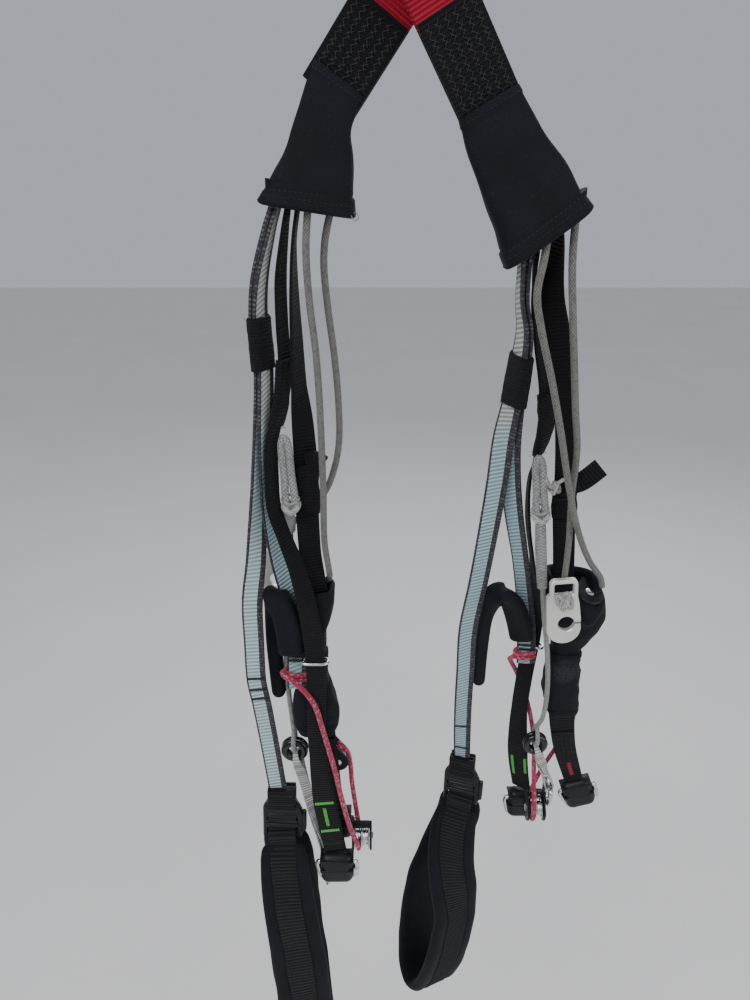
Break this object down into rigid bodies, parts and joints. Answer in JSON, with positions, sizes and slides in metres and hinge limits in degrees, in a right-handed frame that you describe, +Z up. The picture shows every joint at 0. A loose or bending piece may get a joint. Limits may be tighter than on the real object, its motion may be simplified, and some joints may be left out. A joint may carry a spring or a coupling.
{
  "type": "paraglider riser pair",
  "caption": "Pair of fabric risers for a paraglider, hung by their loops, with speed pulleys, hooks, low-friction rings, quick links and padded control handles.",
  "frame": {"origin": "hang point where the two carabiner loops meet", "axes": "+Z up, +X across the pair towards the right riser, +Y from the front of the pair to its back"},
  "size_m": [0.2438, 0.1145, 0.7433],
  "materials": {
    "red_webbing": "woven",
    "black_webbing": "woven",
    "neoprene": "matte",
    "teal_webbing": "woven with dark edges",
    "grey_cord": "braided",
    "pale_cord": "braided",
    "pink_cord": "braided with pale flecks",
    "black_plastic": "satin",
    "ring_black": "gloss black",
    "steel": "polished",
    "hook_silver": "bead blasted",
    "pale_sheave": "satin"
  },
  "bodies": {
    "risers": {"left_carabiner_loop": "red_webbing", "left_trunk": "black_webbing", "left_sleeve": "neoprene", "left_handle_strap": "teal_webbing", "left_c_strap": "teal_webbing", "left_strap_keeper": "black_webbing", "left_b_strap": "black_webbing", "left_a_strap": "black_webbing", "left_c_handle": "neoprene", "left_speed_cord_pulley": "grey_cord", "left_speed_cord_hook": "grey_cord", "left_bridge_cord": "grey_cord", "left_friction_ring": "ring_black", "left_ring_loop": "pale_cord", "left_ring_link": "steel", "left_pulley_pouch": "neoprene", "left_pouch_pulley": "black_plastic", "left_riser_cover": "neoprene", "left_strap_ring": "steel", "left_a_end": "black_webbing", "left_b_end": "black_plastic", "left_twin_pulley": "black_plastic", "left_small_pulley": "black_plastic", "left_pink_cord": "pink_cord", "left_buckle": "black_plastic", "right_carabiner_loop": "red_webbing", "right_trunk": "black_webbing", "right_sleeve": "neoprene", "right_handle_strap": "teal_webbing", "right_c_strap": "teal_webbing", "right_strap_keeper": "black_webbing", "right_b_strap": "black_webbing", "right_a_strap": "black_webbing", "right_c_handle": "neoprene", "right_speed_cord_pulley": "grey_cord", "right_speed_cord_hook": "grey_cord", "right_bridge_cord": "grey_cord", "right_friction_ring": "ring_black", "right_ring_loop": "pale_cord", "right_ring_link": "steel", "right_pulley_pouch": "neoprene", "right_pouch_pulley": "black_plastic", "right_riser_cover": "neoprene", "right_strap_ring": "steel", "right_a_end": "black_webbing", "right_b_end": "black_plastic", "right_twin_pulley": "black_plastic", "right_small_pulley": "black_plastic", "right_pink_cord": "pink_cord", "right_buckle": "black_plastic"},
    "left_pouch_sheave": {"left_pouch_sheave": "pale_sheave"},
    "left_speed_hook": {"left_speed_hook": "hook_silver"},
    "left_twin_sheave": {"left_twin_sheave": "steel"},
    "left_small_sheave": {"left_small_sheave": "steel"},
    "left_control_handle": {"left_control_handle": "neoprene"},
    "right_pouch_sheave": {"right_pouch_sheave": "pale_sheave"},
    "right_speed_hook": {"right_speed_hook": "hook_silver"},
    "right_twin_sheave": {"right_twin_sheave": "steel"},
    "right_small_sheave": {"right_small_sheave": "steel"},
    "right_control_handle": {"right_control_handle": "neoprene"}
  },
  "joints": [
    {"name": "left_handle_swing", "type": "hinge", "parent": "risers", "child": "left_control_handle", "pos_m": [-0.0753, 0, -0.5006], "axis": [0.9994, 0, -0.0349], "range_deg": [-60, 60]},
    {"name": "right_handle_swing", "type": "hinge", "parent": "risers", "child": "right_control_handle", "pos_m": [0.051, 0.05, -0.521], "axis": [0.9511, -0.309, 0], "range_deg": [-60, 60]},
    {"name": "left_hook_swing", "type": "hinge", "parent": "risers", "child": "left_speed_hook", "pos_m": [-0.073, 0.02253, -0.2886], "axis": [1, 0, 0], "range_deg": [-4, 60]},
    {"name": "right_hook_swing", "type": "hinge", "parent": "risers", "child": "right_speed_hook", "pos_m": [0.09538, 0.00247, -0.30761], "axis": [0.9962, 0, 0.0872], "range_deg": [-60, 4]},
    {"name": "left_pouch_sheave_spin", "type": "hinge", "parent": "risers", "child": "left_pouch_sheave", "pos_m": [-0.046, 0.017, -0.321], "axis": [0, 0.2588, 0.9659], "continuous": true},
    {"name": "right_pouch_sheave_spin", "type": "hinge", "parent": "risers", "child": "right_pouch_sheave", "pos_m": [0.115, 0.019, -0.328], "axis": [-0.1954, 0.342, -0.9192], "continuous": true},
    {"name": "left_twin_sheave_spin", "type": "hinge", "parent": "risers", "child": "left_twin_sheave", "pos_m": [-0.0217, -0.003, -0.499], "axis": [1, 0, 0], "continuous": true},
    {"name": "right_twin_sheave_spin", "type": "hinge", "parent": "risers", "child": "right_twin_sheave", "pos_m": [0.104, 0.038, -0.517], "axis": [1, 0, 0], "continuous": true},
    {"name": "left_small_sheave_spin", "type": "hinge", "parent": "risers", "child": "left_small_sheave", "pos_m": [-0.0378, 0.0145, -0.448], "axis": [0, 1, 0], "continuous": true},
    {"name": "right_small_sheave_spin", "type": "hinge", "parent": "risers", "child": "right_small_sheave", "pos_m": [0.1205, 0.053, -0.424], "axis": [0, 1, 0], "continuous": true}
  ]
}
